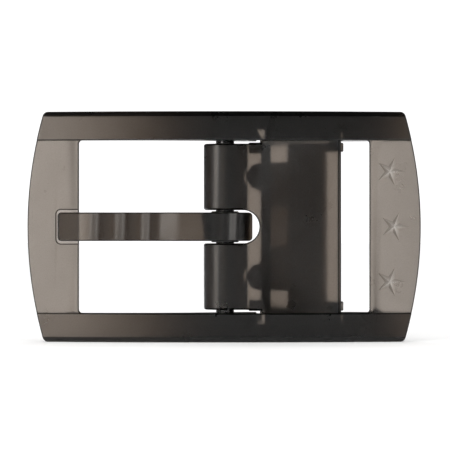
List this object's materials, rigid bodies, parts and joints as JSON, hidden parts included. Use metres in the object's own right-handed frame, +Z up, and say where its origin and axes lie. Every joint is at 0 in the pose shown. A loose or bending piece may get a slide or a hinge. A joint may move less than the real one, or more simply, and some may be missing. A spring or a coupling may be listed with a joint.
{
  "type": "belt buckle",
  "caption": "Moulded translucent plastic belt buckle for a 38 mm strap, with a hinged prong and a hinged clamp lever behind its centre plate.",
  "frame": {"origin": "centre of the underside of the bounding box, at the flat outer edge of the lower rail that the buckle stands on", "axes": "+X along the belt, from the prong's tip towards the ornamented end bar; -Y out of the front; +Z up, across the belt"},
  "size_m": [0.0914, 0.011, 0.0534],
  "materials": {
    "smoke_plastic": "translucent smoke grey, satin",
    "prong_plastic": "translucent smoke grey, satin",
    "lever_plastic": "translucent smoke grey, satin",
    "pin": "dark, smooth"
  },
  "bodies": {
    "frame": {"buckle_frame": "smoke_plastic", "prong_pin": "pin", "lever_pin_upper": "pin", "lever_pin_lower": "pin"},
    "prong": {"prong": "prong_plastic"},
    "lever": {"clamp_lever": "lever_plastic"}
  },
  "joints": [
    {"name": "prong_hinge", "type": "hinge", "parent": "frame", "child": "prong", "pos_m": [0.0002, 0.0003, 0.0267], "axis": [0, 0, 1], "range_deg": [0, 95]},
    {"name": "lever_hinge", "type": "hinge", "parent": "frame", "child": "lever", "pos_m": [0.0257, 0.0031, 0.0267], "axis": [0, 0, -1], "range_deg": [0, 110]}
  ]
}
